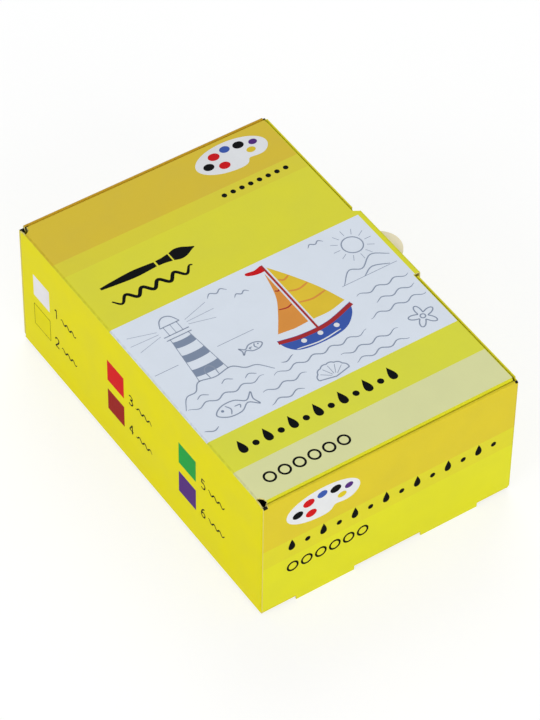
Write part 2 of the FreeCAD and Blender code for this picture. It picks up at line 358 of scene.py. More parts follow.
lidBands = [(-70.0, inks["yellow"]), (-56.0, inks["pale"]), (-44.2, inks["lidLowYellow"]),
            (-32.67, inks["picture"]), (12.5, inks["lidYellow"]), (34.75, inks["lidMid"]),
            (40.5, inks["lidOrange"])]
endBands = [(-10.0, inks["yellow"]), (17.4, inks["endMid"]), (24.05, inks["endOrange"])]
# the far rim's top is painted a deeper orange: painted shade where the roll turns away from the light
rimShadeBand = [(rimHigh[2] - 0.5, inks["rimShadedOrange"])]
innerBands = [(-10.0, inks["core"]), (lidTop - 1.6, inks["edge"])]
lidSides = dict(left=hingeX + 0.03, right=lidRight - 0.4, onStrip=lidRight + 0.17,
                strip=(lockLow[1], lockHigh[1]))
lidPrint = bandedBoard("lid_print", "Y", lidBands, lidSides)
endPrint = dict(near=bandedBoard("near_end_print", "Z", endBands),
                far=bandedBoard("far_end_print", "Z", endBands + rimShadeBand))
sidePrint = plainBoard("side_print", inks["sideYellow"], sideLook)
bareBoard = plainBoard("bare_board", inks["core"], bareLook)
rightEdge = plainBoard("right_edge", inks["edge"], sideLook)
rightInner = bandedBoard("right_inner", "Z", innerBands)
endEdge = plainBoard("end_edge", tone(222, 212, 110), bareLook)
# near black: painted shade for the gaps at the rims' corners
cornerShade = plainBoard("corner_shade", tone(14, 13, 8), bareLook)
cutEdge = plainBoard("cut_edge", tone(220, 208, 126), bareLook)
# the tongue's bare side is painted lighter than the bare board: painted light against the shade under the
# strip
tongueLitBoard = plainBoard("tongue_lit_board", tone(249, 239, 205), bareLook)
print("board materials ready")


# board pieces
def spaced(*stretches):
    # runs of evenly spaced values: each stretch is (from, to, steps)
    return np.concatenate([np.linspace(a, b, n) for a, b, n in stretches])


def grid(x, y, z):
    return np.stack(np.broadcast_arrays(x, y, z), -1).astype(float)


def makeBoard(name, shell, nodes=(), wear=None, face=sidePrint, inside=bareBoard, edge=cutEdge):
    # one closed board; the painted crease shade is its front's, and its back has none
    if wear is not None:
        wear = np.concatenate([wear, wear * 0])
    return makePiece(name, [(*shell, (0, 1, 2))], [face, inside, edge], nodes, wear)


def foldStrip(centre, start, end, along, reach, radius=foldRadius, lean=0.0, steps=9, lineSteps=25,
              skirt=None, wear=foldShade):
    # crease: a quarter circle from direction start to direction end, carried along a straight fold line,
    # with a straight skirt before its start
    turn = np.linspace(-math.radians(lean), math.pi / 2, steps)
    bend = np.cos(turn)[:, None] * np.array(start, float) + np.sin(turn)[:, None] * np.array(end, float)
    line = np.linspace(*reach, lineSteps)[:, None] * np.array(along, float)
    middle = np.array(centre, float) + line[None]
    front, back = middle + radius * bend[:, None], middle + (radius - board) * bend[:, None]
    # painted shade, strongest at the middle of the bend
    crest = wear * np.sin(np.linspace(0, math.pi, steps))
    if skirt:
        front, back = np.concatenate([front[:1] + skirt, front]), np.concatenate([back[:1] + skirt, back])
        crest = np.append(0, crest)
    return slab(front, back), np.broadcast_to(crest[:, None], front.shape[:2]).ravel()


def makeFold(name, material, body, other=None, hinge=None, **shape):
    # a fold rides on one body, or, when it lies between two, stays unparented where it is built
    shell, wear = foldStrip(**shape)
    piece = makeBoard(name, shell, wear=wear, face=material)
    if other:
        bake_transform(piece)
    else:
        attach(piece, body)


xUp, yUp, zUp = (1, 0, 0), (0, 1, 0), (0, 0, 1)
xDown, yDown, zDown = (-1, 0, 0), (0, -1, 0), (0, 0, -1)

# the wall's bends to its dust flaps carry painted shade
sideWalls = dict(flapTaper=4.0, taperStep=1.0, bendSteps=9, bendGap=0.05, reliefLength=2.2, reliefDrop=0.9,
                 reliefStep=0.6, passRise=0.6, rimGap=0.2, cutStep=0.02, rows=13, runSteps=8, wear=0.6,
                 wearSpread=0.25)


def makeSideWall(side, hand, wallY, tops, inside, edge):
    # wall and its two dust flaps as one board: the plan is flap, quarter round, wall, quarter round, flap
    tip = sideFace - board - (dustHigh[0] - dustLow[0])
    bendX, bendY = sideFace - foldRadius, sideEnd - foldRadius
    taper = sideWalls["flapTaper"]
    full = tip + taper
    flapX = spaced((tip, full, 4), (full + sideWalls["taperStep"], bendX - sideWalls["cutStep"], 8))
    turn = np.linspace(math.pi / 2, 0, sideWalls["bendSteps"])
    turnY = -bendY - foldRadius * np.sin(turn)
    flap, wall = np.zeros_like(flapX), np.zeros_like(wallY)
    planX = np.concatenate([flapX, bendX + foldRadius * np.cos(turn), wall + sideFace])
    planY = np.concatenate([flap - sideEnd, turnY, wallY])
    normalX = np.concatenate([flap, np.cos(turn), wall + 1])
    normalY = np.concatenate([flap - 1, -np.sin(turn), wall])
    inset = np.clip(1 - (flapX - tip) / taper, 0, 1) * taper
    low = np.concatenate([dustLow[2] + inset, 0 * turn + foldRadius, wall + foldRadius])
    high = np.concatenate([dustHigh[2] - inset, np.interp(turnY, wallY, tops), tops])
    # the far flap and bend repeat the near ones, turned round
    flip = slice(len(flapX) + len(turn) - 1, None, -1)
    planX, normalX, low, high = (np.append(row, row[flip]) for row in (planX, normalX, low, high))
    planY, normalY = (np.append(row, -row[flip]) for row in (planY, normalY))
    height = low + (high - low) * np.linspace(0, 1, sideWalls["rows"])[:, None]
    front = grid(hand * planX, planY, height)
    back = grid(hand * (planX - board * normalX), planY - board * normalY, height)
    # painted shade where the wall bends round to its dust flaps
    spread = sideWalls["wearSpread"]
    wear = sideWalls["wear"] * np.exp(-((np.abs(planY) - bendY - spread) / spread) ** 2) * (planX > bendX)
    nodes = [f"{side}_wall", f"{side}_near_dust_flap", f"{side}_far_dust_flap"]
    wear = np.broadcast_to(wear, height.shape).ravel()
    piece = makeBoard(f"{side}_wall_board", slab(front, back), nodes, wear, inside=inside, edge=edge)
    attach(piece, "tray")


tongue = dict(radius=6.3, gap=0.4, shownRadius=6.05, shift=0.3, steps=49, creaseGap=0.02)
tongueMiddleX = tongueHigh[0] - tongue["radius"]
tongueMiddleY = (tongueLow[1] + tongueHigh[1]) / 2
notchNear = tongueMiddleY - tongue["radius"] - tongue["gap"]
notchFar = tongueMiddleY + tongue["radius"] + tongue["gap"]


def makeSideWalls():
    bend, slope = sideEnd - foldRadius, sideEnd - sideWalls["reliefLength"]
    start, level = bend - sideWalls["bendGap"], slope - sideWalls["reliefStep"]
    leftY = spaced((-start, -slope, 5), (-level, level, 41), (slope, start, 5))
    fall = (np.abs(leftY) - slope) * sideWalls["reliefDrop"] / sideWalls["reliefLength"]
    makeSideWall("left", -1, leftY, np.minimum(foldTop, leftHigh[2] - fall), bareBoard, cutEdge)
    # the right wall is cut down under the rims' ends, under the strip and at the tongue
    step, count = sideWalls["cutStep"], sideWalls["runSteps"]
    underStrip = tongueLow[2] + sideWalls["passRise"]
    underRim = rimLow[2] - sideWalls["rimGap"]
    edges = [-bend, -lidEnd, nearTuckHigh[1], notchNear, notchFar, farTuckLow[1], lidEnd, bend - step]
    levels = [underRim, rightHigh[2], underStrip, tongueLow[2], underStrip, rightHigh[2], underRim]
    rightY = spaced(*[(low + step, high, count) for low, high in zip(edges, edges[1:])])
    makeSideWall("right", 1, rightY, np.repeat(levels, count), rightInner, rightEdge)


makeSideWalls()
print("side walls ready")

feet = dict(length=17.7, spacing=38.4, step=0.02, tabDrop=0.4)
# the cuts and corner drops are where the roll stops short; shade is how far in from the left corner the roll
# is painted near black, painted shade for the dark gap
rim = dict(radius=dict(near=0.42, far=0.45), drop=dict(near=0.3, far=0.0), wear=0.6, endShade=1.8,
           endBand=0.3, leftCut=1.2, rightCut=0.8, cutStep=0.06, cutRoom=1.0, leftDrop=0.9, rightDrop=0.5,
           shade=2.4, shadeRows=4, spread=0.3, rows=12, turnRows=13)
base = dict(endRadius=1.3, sideGap=0.1)


def footSpans():
    middles = (-feet["spacing"] / 2, feet["spacing"] / 2)
    return [(middle - feet["length"] / 2, middle + feet["length"] / 2) for middle in middles]


def footColumns(half):
    # places across an end wall, doubled at the feet's ends, and whether each is on a foot
    step, cut, room = feet["step"], rim["cutStep"], rim["cutRoom"]
    (a, b), (c, d) = footSpans()
    left, right, shade = rim["leftCut"] - half, half - rim["rightCut"], rim["shade"] - half
    x = spaced((-half, left, 3), (left + cut, shade, 3), (shade + room, a - step, 4), (a, b, 7),
               (b + step, c - step, 6), (c, d, 7), (d + step, right - room, 4), (right - cut, right, 2),
               (half - rim["endBand"], half, 2))
    return x, ((x >= a) & (x <= b)) | ((x >= c) & (x <= d))


def makeEndWall(end, side):
    # outer panel, rim and inner panel as one board: up, round a tight half circle, then spreading to the
    # inner panel's place above the dust flaps, and down
    half = outerHigh[0]
    x, onFoot = footColumns(half)
    radius = rim["radius"][end]
    # the roll stops short of the corners; its faces there are painted near black, painted shade for the gap
    # between the layers
    beyond = (x < rim["leftCut"] + hair - half) | (x > half - rim["rightCut"] - hair)
    cornerDrop = np.where(x < 0, rim["leftDrop"], rim["rightDrop"])
    rollZ = rimHigh[2] - radius - np.where(beyond, cornerDrop, rim["drop"][end])
    rollY = endFace - radius
    outerLowZ = np.where(onFoot, floorZ, base["endRadius"])
    innerLowZ = np.where(onFoot, innerLow[2], innerLow[2] + feet["tabDrop"])
    share = np.linspace(0, 1, rim["rows"])[:, None]
    turn = np.linspace(0, math.pi, rim["turnRows"] + 2)[1:-1, None]
    spreadZ = np.minimum(dustHigh[2], rollZ - rim["spread"])
    pathZ = np.concatenate([outerLowZ + (rollZ - outerLowZ) * share, rollZ + radius * np.sin(turn) + 0 * x,
                            [rollZ + 0 * x], spreadZ + (innerLowZ - spreadZ) * share])
    pathY = np.concatenate([0 * share + endFace, rollY + radius * np.cos(turn), [[rollY - radius]],
                            0 * share + innerLow[1]])
    normalY = np.concatenate([0 * share + 1, np.cos(turn), [[-1]], 0 * share - 1])
    normalZ = np.concatenate([0 * share, np.sin(turn), [[0]], 0 * share])
    pathX = x + 0 * pathZ
    front = grid(pathX, side * pathY, pathZ)
    back = grid(pathX, side * (pathY - board * normalY), pathZ - board * normalZ)
    # painted shade on the roll's top and along the right end's edge, where the board turns away from the
    # light
    wear = np.maximum(rim["wear"] * normalZ, rim["endShade"] * (pathX > half - hair)).ravel()
    points, (quads, rear, edge) = slab(front, back)
    row, column = np.divmod(np.arange(len(quads)), len(x) - 1)
    rollEnd = rim["rows"] + rim["turnRows"] + 1
    rolled = (row >= rim["rows"] - 1) & (row < rollEnd)
    cut = rolled & (beyond[:-1] != beyond[1:])[column]
    inGap = (row >= rollEnd - rim["shadeRows"]) & (x[column + 1] < rim["shade"] + hair - half)
    shaded = rolled & ~cut & (beyond[column] | inGap)
    groups = [quads[~cut & ~shaded], quads[cut], quads[shaded], rear, edge]
    piece = makePiece(f"{end}_end_board", [(points, groups, (0, 2, 3, 1, 4))],
                      [endPrint[end], bareBoard, cutEdge, cornerShade, endEdge],
                      [f"{end}_end_outer", f"{end}_end_rim", f"{end}_end_inner"],
                      np.concatenate([wear, wear * 0]))
    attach(piece, "tray")


def makeBase():
    # floor of the tray and the creases round it; the tabs drop in the slits left between the end creases
    endRadius, sideReach = base["endRadius"], sideEnd - base["sideGap"]
    halfX, halfY = sideFace - foldRadius, endFace - endRadius
    outline = np.array([(-halfX, halfY), (halfX, halfY), (halfX, -halfY), (-halfX, -halfY)])
    low, high = (grid(*outline.T, level) for level in (baseLow[2], baseHigh[2]))
    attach(makeBoard("base_board", prism(low, high), ["base_panel"]), "tray")
    for name, hand, outward in (("left", -1, xDown), ("right", 1, xUp)):
        makeFold(f"{name}_base_crease", sidePrint, "tray", centre=(hand * halfX, 0, foldRadius),
                 start=outward, end=zDown, along=yUp, reach=(-sideReach, sideReach))
    (a, b), (c, d) = footSpans()
    for name, side, outward in (("near", -1, yDown), ("far", 1, yUp)):
        for place, reach in (("left", (-halfX, a)), ("middle", (b, c)), ("right", (d, halfX))):
            makeFold(f"{name}_{place}_base_crease", sidePrint, "tray", centre=(0, side * halfY, endRadius),
                     start=outward, end=zDown, along=xUp, reach=reach, radius=endRadius)


for end, side in (("near", -1), ("far", 1)):
    makeEndWall(end, side)
makeBase()
print("end walls and base ready")

# the hinge crease carries the strongest painted shade
lid = dict(hingeRelief=1.9, freeRelief=0.65, hingeLap=0.06, freeLap=0.1, hingeShade=1.6, stripBevel=1.1,
           cutStep=0.02, columns=60, cornerStart=0.15, cornerSteps=8, cornerRoom=1.2)
lidFree = lidEnd - lid["freeRelief"] + lid["freeLap"]  # where the tuck flaps' creases end


def makeLid():
    # flat panel: for each place along Y a straight run from the hinge crease to the front crease,
    # cut back by a circle at each corner and longer along the strip
    low, high = earRadius["near"] - lidReach["near"], lidReach["far"] - earRadius["far"]
    step, relief = lid["cutStep"], lid["hingeRelief"]
    swing = np.linspace(lid["cornerStart"], 1.0, lid["cornerSteps"]) * math.acos(foldRadius / relief)
    corner = lidEnd - relief * np.cos(swing)
    inner = corner[0] - lid["cornerRoom"]
    near, far = lockLow[1], lockHigh[1]
    y = spaced((-inner, near - step, 12), (near, far, 10), (far + lid["stripBevel"], inner, 12))
    y = np.concatenate([-corner[::-1], y, corner])
    gap = lidEnd - np.abs(y)
    hingeCut = np.sqrt(np.maximum(relief ** 2 - gap ** 2, 0))
    freeCut = np.sqrt(np.maximum(lid["freeRelief"] ** 2 - gap ** 2, 0))
    left = hingeX + np.maximum(foldRadius, hingeCut)
    right = lidRight - np.maximum(tuckRadius, freeCut)
    right = np.where((y >= near) & (y <= far), stripEdge - foldRadius, right)
    y = np.where(np.abs(y) < lidEnd - foldRadius - step, y, np.where(y < 0, low, high))
    x = left[:, None] + (right - left)[:, None] * np.linspace(0, 1, lid["columns"])
    front, back = (grid(x, y[:, None], level) for level in (lidTop, lidTop - board))
    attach(makeBoard("lid_board", slab(front, back), ["lid_panel"], face=lidPrint), "lid")


def flapInset(depth, taper, rounding, rows=10):
    # side of a flap: a straight taper, then an arc into the lower edge; gives depths and insets
    lean = math.atan2(taper, depth)
    centreT = depth - rounding
    centreX = taper * centreT / depth + rounding / math.cos(lean)
    turn = np.linspace(lean, math.pi / 2, rows)
    straight = np.linspace(0, centreT + rounding * math.sin(lean), rows)[:-1]
    depths = np.concatenate([straight, centreT + rounding * np.sin(turn)])
    insets = np.concatenate([taper * straight / depth, centreX - rounding * np.cos(turn)])
    return depths[:, None], insets[:, None]


# the ears' creases carry painted shade, very little at the near one
ears = dict(taper=5.0, rounding=3.0, skirt=1.0, columns=30, wear=dict(near=0.1, far=foldShade))
tucks = dict(taper=2.5, rounding=2.5, lean=3.5, columns=20)
tuckReach = dict(near=(-lidFree, lockLow[1] - lid["cutStep"]),
                 far=(lockHigh[1] + lid["stripBevel"], lidFree))


def makeEar(end, side):
    # flap hanging from the lower edge of its crease's skirt
    depths, insets = flapInset(foldTop - earLow[2], ears["taper"], ears["rounding"])
    z = foldTop - np.maximum(depths, ears["skirt"])
    left, right = earLow[0] + insets, earHigh[0] - insets
    x = left + (right - left) * np.linspace(0, 1, ears["columns"])
    front, back = (grid(x, side * place, z) for place in (lidEnd, lidEnd - board))
    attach(makeBoard(f"{end}_ear_board", slab(front, back), [f"{end}_ear"]), f"{end}_ear")
    radius, reach = earRadius[end], lidReach[end]
    top, middle = lidTop - radius, reach - radius
    skirt = (0, side * (lidEnd - reach), foldTop - ears["skirt"] - top)
    left = hingeX + lid["hingeRelief"] - lid["hingeLap"]
    right = lidRight - lid["freeRelief"] + lid["freeLap"]
    makeFold(f"{end}_ear_crease", lidPrint, "lid", f"{end}_ear",
             ((0, side * middle, lidTop), (0, side * lidEnd, foldTop)), centre=(0, side * middle, top),
             start=(0, side, 0), end=zUp, along=xUp, reach=(left, right), radius=radius, skirt=skirt,
             wear=ears["wear"][end])


def makeTuck(end, low, high):
    # flap leaning inwards about its crease
    top = lidTop - tuckRadius
    depths, insets = flapInset(top - low[2], tucks["taper"], tucks["rounding"])
    near, far = low[1] + insets, high[1] - insets
    y = near + (far - near) * np.linspace(0, 1, tucks["columns"])
    angle = math.radians(tucks["lean"])
    drop = tuckRadius - board + depths
    front, back = (grid(lidRight - board + out * math.cos(angle) - drop * math.sin(angle), y,
                        lidLow[2] - out * math.sin(angle) - drop * math.cos(angle)) for out in (board, 0.0))
    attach(makeBoard(f"{end}_tuck_board", slab(front, back), [f"{end}_tuck_flap"]), f"{end}_tuck_flap")
    middle = lidRight - tuckRadius
    makeFold(f"{end}_tuck_crease", lidPrint, "lid", f"{end}_tuck_flap",
             ((middle, 0, lidTop), (lidRight, 0, top)), centre=(middle, 0, top), start=xUp, end=zUp,
             along=yUp, reach=tuckReach[end], lean=tucks["lean"], radius=tuckRadius)


def arc(centreX, centreY, radiusX, radiusY, start, end, steps=24):
    # part of an ellipse between two angles in degrees
    turn = np.radians(np.linspace(start, end, steps))
    return np.stack([centreX + radiusX * np.cos(turn), centreY + radiusY * np.sin(turn)], -1)


lockFlap = dict(rounding=2.5, web=0.6)


def makeLock():
    # lock flap under the strip, with the notch that lets the tongue through
    near, far, low = lockLow[1], lockHigh[1], lockLow[2]
    turned = lockFlap["rounding"]
    notch = lidLow[2] - lockFlap["web"]
    outline = np.concatenate([
        [(near, foldTop)], arc(near + turned, low + turned, turned, turned, 180, 270, 9),
        [(notchNear, low), (notchNear, notch), (notchFar, notch), (notchFar, low)],
        arc(far - turned, low + turned, turned, turned, 270, 360, 9), [(far, foldTop)]])
    front, back = (grid(place, *outline.T) for place in (stripEdge, stripEdge - board))
    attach(makeBoard("lock_flap_board", prism(front, back), ["lock_flap"]), "lock_flap")
    middle = stripEdge - foldRadius
    makeFold("lock_flap_crease", lidPrint, "lid", "lock_flap",
             ((middle, 0, lidTop), (stripEdge, 0, foldTop)), centre=(middle, 0, foldTop), start=xUp, end=zUp,
             along=yUp, reach=(near, far))


def makeTongue():
    # round plate folded out over the right wall's edge, bare side up
    radius = tongue["shownRadius"]
    middleY = tongueMiddleY + tongue["shift"]
    swing = math.degrees(math.acos((sideFace - tongueMiddleX) / radius))
    outline = arc(tongueMiddleX, middleY, radius, radius, -swing, swing, tongue["steps"])
    low, high = tongueLow[2], tongueHigh[2]
    under, over = (grid(*outline.T, level) for level in (low, high))
    piece = makeBoard("lock_tongue_board", prism(under, over), ["lock_tongue"], inside=tongueLitBoard)
    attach(piece, "lock_tongue")
    half = radius * math.sin(math.radians(swing))
    makeFold("lock_tongue_crease", tongueLitBoard, "tray", "lock_tongue",
             ((sideFace - board, 0, low), (sideFace, 0, high)), centre=(sideFace, 0, low), start=xDown,
             end=zUp, along=yUp, reach=(middleY - half, middleY + half), radius=board + tongue["creaseGap"])


makeLid()
makeFold("hinge_crease", lidPrint, "tray", "lid", ((hingeX, 0, foldTop), (hingeX + foldRadius, 0, lidTop)),
         centre=(hingeX + foldRadius, 0, foldTop), start=xDown, end=zUp, along=yUp,
         reach=(-lidEnd + lid["hingeRelief"], lidEnd - lid["hingeRelief"]), wear=lid["hingeShade"])
for end, side in (("near", -1), ("far", 1)):
    makeEar(end, side)
makeTuck("near", nearTuckLow, nearTuckHigh)
makeTuck("far", farTuckLow, farTuckHigh)
makeLock()
makeTongue()
print("lid, flaps and creases ready")

# print: thin closed films of ink that lie on the board
inkNames = ["swatchWhite", "sideYellow", "dark", "line", "shade", "white", "red", "brown", "green", "violet",
            "sail", "jib", "hull", "stripe", "lidOrange", "endOrange"]
inkMaterials = {name: plainBoard(f"ink_{name}", inks[name], inkLook) for name in inkNames}
film = dict(layer=0.012, sunk=0.02)


def onLid(flat, lift):
    return grid(flat[..., 0], flat[..., 1], lidTop + lift)


def onNear(flat, lift):
    return grid(flat[..., 0], -endFace - lift, flat[..., 1])


def onFar(flat, lift):
    return grid(-flat[..., 0], endFace + lift, flat[..., 1])


def onLeft(flat, lift):
    return grid(-sideFace - lift, -flat[..., 0], flat[..., 1])


def curve(points, closed=False, steps=6):
    # smooth line through points: cubics whose slope at a point is half the chord across it
    point = np.array(points, float)
    if closed:
        point = np.concatenate([point[-1:], point, point[:2]])
    else:
        point = np.concatenate([2 * point[:1] - point[1:2], point, 2 * point[-1:] - point[-2:-1]])
    a, b, c, d = point[:-3, None], point[1:-2, None], point[2:-1, None], point[3:, None]
    t = np.linspace(0, 1, steps, endpoint=False)[None, :, None]
    square, cube = a - 2.5 * b + 2 * c - d / 2, 1.5 * (b - c) + (d - a) / 2
    bend = b + (c - a) / 2 * t + square * t ** 2 + cube * t ** 3
    return bend.reshape(-1, 2) if closed else np.concatenate([bend.reshape(-1, 2), point[-2:-1]])


def straight(*points):
    return np.array(points, float)


def wave(start, end, middle, height, length, phase=0.0):
    # sine line along X
    x = np.linspace(start, end, max(9, int(abs(end - start) / length * 14)))
    return np.stack([x, middle + height * np.sin(2 * np.pi * x / length + phase)], -1)


def drop(x, y, height, width):
    # teardrop: half width times sin t times sin(t/2) to the power 1.5, height along cos t
    t = np.linspace(0, 2 * np.pi, 28, endpoint=False)
    return np.stack([x + width * np.sin(t) * np.abs(np.sin(t / 2)) ** 1.5, y + height / 2 * np.cos(t)], -1)


def disc(x, y, radius, steps=24):
    return arc(x, y, radius, radius, 0, 360 * (1 - 1 / steps), steps)


def blob(ink, x, y, width, height):
    return area(ink, arc(x, y, width, height, 0, 345, 24), 2)


def stroke(ink, path, width, layer=2, taper=0.45):
    return dict(ink=ink, path=path, width=width, layer=layer, taper=taper)


def area(ink, path, layer=1):
    return dict(ink=ink, path=path, width=0, layer=layer)


def ring(ink, x, y, radius, width, layer=2):
    return stroke(ink, arc(x, y, radius, radius, 0, 360, 33), width, layer, 0)


def makePrint(name, marks, place, body):
    # a stroke is a strip half its width to each side of its path, a little thinner at its ends
    used = sorted({mark["ink"] for mark in marks})
    shells = []
    for mark in marks:
        path, lift = mark["path"], film["layer"] * mark["layer"]
        if mark["width"]:
            step = np.gradient(path, axis=0)
            across = np.stack([-step[:, 1], step[:, 0]], -1) / np.linalg.norm(step, axis=1, keepdims=True)
            share = np.abs(np.linspace(-1, 1, len(path)))[:, None]
            half = mark["width"] / 2 * (1 - mark["taper"] * share ** 4)
            sides = np.stack([path + across * half, path - across * half], 1)
            shell = slab(place(sides, lift), place(sides, -film["sunk"]))
        else:
            shell = prism(place(path, lift), place(path, -film["sunk"]))
        shells.append((*shell, (used.index(mark["ink"]),) * 3))
    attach(makePiece(name, shells, [inkMaterials[ink] for ink in used]), body)


palette = dict(halfLength=11.0, halfHeight=5.35, notch=0.3, notchAt=-62.0, notchSpread=13.0, steps=72,
               thumb=(5.6, -0.9, 1.35, 1.0), dabStretch=1.25,
               dabs=[("dark", -7.6, -0.6, 1.25), ("red", -4.4, 2.0, 1.35), ("hull", -0.4, 2.9, 1.2),
                     ("dark", 3.6, 2.4, 1.3), ("red", -3.6, -2.2, 1.3), ("violet", 7.6, 1.4, 1.0)])


def paletteMarks(x, y, band):
    # painter's palette: an ellipse drawn in at the thumb notch, a thumb hole and dabs of colour
    turn = np.linspace(0, 360, palette["steps"], endpoint=False) - 180
    draw = 1 - palette["notch"] * np.exp(-((turn - palette["notchAt"]) / palette["notchSpread"]) ** 2)
    outline = np.stack([x + palette["halfLength"] * draw * np.cos(np.radians(turn)),
                        y + palette["halfHeight"] * draw * np.sin(np.radians(turn))], -1)
    dx, dy, width, height = palette["thumb"]
    marks = [area("white", outline), blob(band, x + dx, y + dy, width, height)]
    for ink, dx, dy, size in palette["dabs"]:
        marks.append(blob(ink, x + dx, y + dy, size * palette["dabStretch"], size))
    return marks


# (share of the length, share of the thickness) along the brush's handle, ferrule and hair
brush = [[(0.0, 0.10), (0.15, 0.22), (0.35, 0.33), (0.52, 0.26), (0.58, 0.22)],
         [(0.60, 0.24), (0.66, 0.26), (0.74, 0.36)],
         [(0.755, 0.38), (0.82, 0.52), (0.89, 0.44), (0.95, 0.2), (1.0, 0.03)]]


def brushMarks(left, right, y, thick):
    # brush lying along X, each part as wide as its profile says
    marks = []
    for part in brush:
        side = curve(part) * (right - left, thick)
        outline = np.concatenate([side, side[::-1] * (1, -1)]) + (left, y)
        marks.append(area("dark", outline))
    return marks


def dropRow(left, right, y, height, count):
    # drops and dots in turn along a line
    x = np.linspace(left, right, count)
    marks = [area("dark", drop(place, y, height, height * 0.36)) for place in x[::2]]
    return marks + [area("dark", disc(place, y - height * 0.18, height * 0.2)) for place in x[1::2]]


def ringRow(left, right, y, radius, count=6):
    return [ring("dark", x, y, radius, radius * 0.4, 1) for x in np.linspace(left, right, count)]


pen = 0.34  # width of the colouring page's lines
finePen = pen * 0.8


def line(path, width=pen, taper=0.45):
    return stroke("line", path, width, 2, taper)


def lighthouseMarks(x, foot, top):
    # striped tower on a rock, with a gallery, lamp room, dome and beams
    footHalf, topHalf = 4.3, 2.7
    lamp, ground = np.array((x, top)), np.array((x, foot))
    marks = []
    for side in (-1, 1):
        marks.append(line(straight((x + side * footHalf, foot), (x + side * topHalf, top))))
        marks.append(line(straight((side * 2.0, 1.3), (side * 2.0, 4.6)) + lamp))
        for rise, reach in ((2.2, 7.6), (0.2, 8.3), (-1.8, 7.2)):
            beam = straight((side * 4.2, 3 + rise * 0.45), (side * (4.2 + reach), 3 + rise * 1.5))
            marks.append(line(beam + lamp, taper=0.7))
    for low, high in ((0.12, 0.28), (0.46, 0.62), (0.80, 0.94)):
        levels = foot + (top - foot) * np.array([low, high])
        halves = footHalf + (topHalf - footHalf) * np.array([low, high])
        lower = arc(x, levels[0], halves[0], 0.55, 180, 360, 13)
        upper = arc(x, levels[1], halves[1], 0.5, 360, 180, 13)
        marks.append(area("shade", np.concatenate([lower, upper])))
    for half, height in ((3.7, 0.0), (3.7, 1.3), (2.9, 4.6)):
        marks.append(line(straight((-half, height), (half, height)) + lamp, taper=0.1))
    marks.append(line(straight((0, 1.3), (0, 4.6)) + lamp, finePen))
    dome = curve([(-2.9, 4.6), (-1.7, 6.9), (0, 7.7), (1.7, 6.9), (2.9, 4.6)])
    door = curve([(-1.3, -0.3), (-1.3, 2.4), (0, 3.5), (1.3, 2.4), (1.3, -0.3)])
    rock = curve([(-12.5, -6.5), (-10, -2.8), (-7, -2.4), (-4.6, 0.1), (0, -0.7), (5, 0.1), (8, -2.2),
                  (11, -3), (14, -6.5)])
    marks += [line(dome + lamp), line(door + ground), line(rock + ground)]
    for place in ((-6.5, -4.8), (1.5, -3.6), (7.5, -5.2)):
        marks.append(line(curve([(-1.6, 0), (0, 0.8), (1.7, -0.2)]) + place + ground, finePen))
    return marks


def boatMarks(x, deck, top):
    # sailing boat: hull, stripe, mast, two sails with seams and a pennant
    hull = np.array((x, deck))
    deckLine = curve([(-11.5, 0.9), (-5, -0.3), (3, -0.2), (12, 2.4)]) + hull
    keel = curve([(12, 2.4), (10, -1.6), (5.5, -4.9), (-2, -5.6), (-8, -4.7), (-10.6, -2.2),
                  (-11.5, 0.9)]) + hull
    foot, head = deck + 2.4, top - 1.2
    leech = curve([(x + 0.8, head), (x + 4.8, head - 6.4), (x + 8.6, head - 13.6), (x + 11.2, foot + 1.2)])
    mainFoot = curve([(11.2, 1.2), (6, 0), (0.8, 0)]) + (x, foot)
    luff = curve([(x - 9.8, foot + 0.4), (x - 5.8, foot + 6.4), (x - 2.8, foot + 12), (x - 0.8, head - 1.6)])
    jib = np.concatenate([luff, straight((x - 0.8, foot), (x - 5, foot - 0.2))])
    pennant = curve([(0, 0), (-2.4, -0.5), (-5, -0.2), (-5, -1.2), (-2.4, -2.1), (0, -1.9)], True) + (x, top)
    marks = [area("hull", np.concatenate([deckLine, keel[1:-1]])),
             area("sail", np.concatenate([leech, mainFoot[1:]])), area("jib", jib),
             stroke("stripe", deckLine + (0, -0.75), 1.25, 2, 0.1),
             stroke("stripe", straight((x, deck - 0.6), (x, top)), 0.75, 3, 0.2), area("red", pennant, 2)]
    for share in (0.3, 0.52, 0.74):
        level = foot + (head - foot) * share
        right = np.interp(-level, -leech[:, 1], leech[:, 0])
        seam = curve([(x + 0.9, level + 0.3), ((x + right) / 2, level - 0.5), (right - 0.3, level + 0.2)])
        marks.append(stroke("jib", seam, 0.55, 2, 0.3))
    for share in (0.34, 0.62):
        level = foot + (head - foot) * share
        left = np.interp(level, luff[:, 1], luff[:, 0])
        seam = curve([(left + 0.3, level), ((x + left) / 2, level - 0.5), (x - 0.9, level)])
        marks.append(stroke("stripe", seam, 0.4, 2, 0.3))
    marks += [area("white", disc(x + place, deck - 2.6, 0.75), 2) for place in (-5.5, -0.5, 4.5)]
    marks.append(stroke("white", curve([(-8.6, -4.1), (-2, -5), (4.6, -4.3)]) + hull, 0.4, 2))
    return marks


# the sea: horizon lines (from, to), waves (from, to, height, phase), gulls (x, y, size) and the sun
sea = dict(level=-6.5, horizon=((-37.2, -30.2), (-18.5, -7.5), (19.8, 36.9)), waveHeight=0.55,
           waveLength=5.4,
           waves=((-8, -4, -19.8, 0), (21, 36.8, -11.5, 1), (24, 36, -15.5, 2.4), (-36.5, -14, -21.3, 0),
                  (19.5, 36.8, -19.4, 0.6), (-12, 16.5, -22.6, 1.4), (-17.5, -4.5, -26.2, 2),
                  (6, 23.5, -26.4, 0.3), (-37, -33, -29.5, 1), (-18, -8, -30.2, 0.4), (8, 24, -30.0, 2.2)),
           gulls=((-8.5, 9.2, 1.0), (-3.2, 5.6, 0.75), (22.6, 10.0, 0.8)), sun=(30.6, 4.6), sunRadius=2.9,
           rays=(0.9, 2.9))


